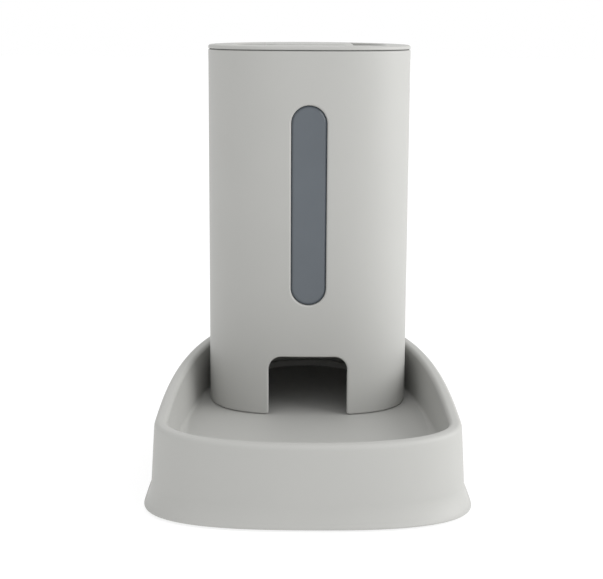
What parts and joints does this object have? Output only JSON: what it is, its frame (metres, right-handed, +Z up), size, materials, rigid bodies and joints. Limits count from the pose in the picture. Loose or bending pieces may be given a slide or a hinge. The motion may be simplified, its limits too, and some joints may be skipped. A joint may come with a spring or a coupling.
{
  "type": "gravity pet feeder",
  "caption": "D-shaped food barrel with a window, an arched outlet and a lift-off lid, standing in a wide tray with a folded rim and a flared foot.",
  "frame": {"origin": "middle of the footprint, on the surface that the feeder stands on", "axes": "+Z up, -Y towards the pet (the front of the tray), +X to the right seen from the front"},
  "size_m": [0.2216, 0.2988, 0.3027],
  "materials": {
    "shell_plastic": "fine matte moulded plastic, warm light grey",
    "inner_plastic": "smooth moulded plastic",
    "window_clear": "polished, smoke-tinted clear plastic",
    "seal_rubber": "soft moulded seal",
    "foot_rubber": "matte",
    "screw_steel": "zinc plated"
  },
  "bodies": {
    "tray": {"tray_shell": "shell_plastic", "base_plate": "inner_plastic", "base_screws": "screw_steel", "foot_front_left": "foot_rubber", "foot_front_right": "foot_rubber", "foot_back_left": "foot_rubber", "foot_back_right": "foot_rubber"},
    "barrel": {"barrel_shell": "shell_plastic", "window_lens": "window_clear", "window_gasket": "seal_rubber", "window_clamp": "inner_plastic", "clamp_screws": "screw_steel", "food_ramp": "inner_plastic", "ramp_screws": "screw_steel"},
    "lid": {"lid_cover": "shell_plastic", "lid_grip": "shell_plastic", "lid_liner": "inner_plastic", "lid_seal": "seal_rubber", "lid_screws": "screw_steel", "grip_screws": "screw_steel"}
  },
  "joints": [
    {"name": "barrel_lift", "type": "slide", "parent": "tray", "child": "barrel", "axis": [0, 0, 1], "range_m": [0, 0.12]},
    {"name": "lid_lift", "type": "slide", "parent": "barrel", "child": "lid", "axis": [0, 0, 1], "range_m": [0, 0.08]}
  ]
}
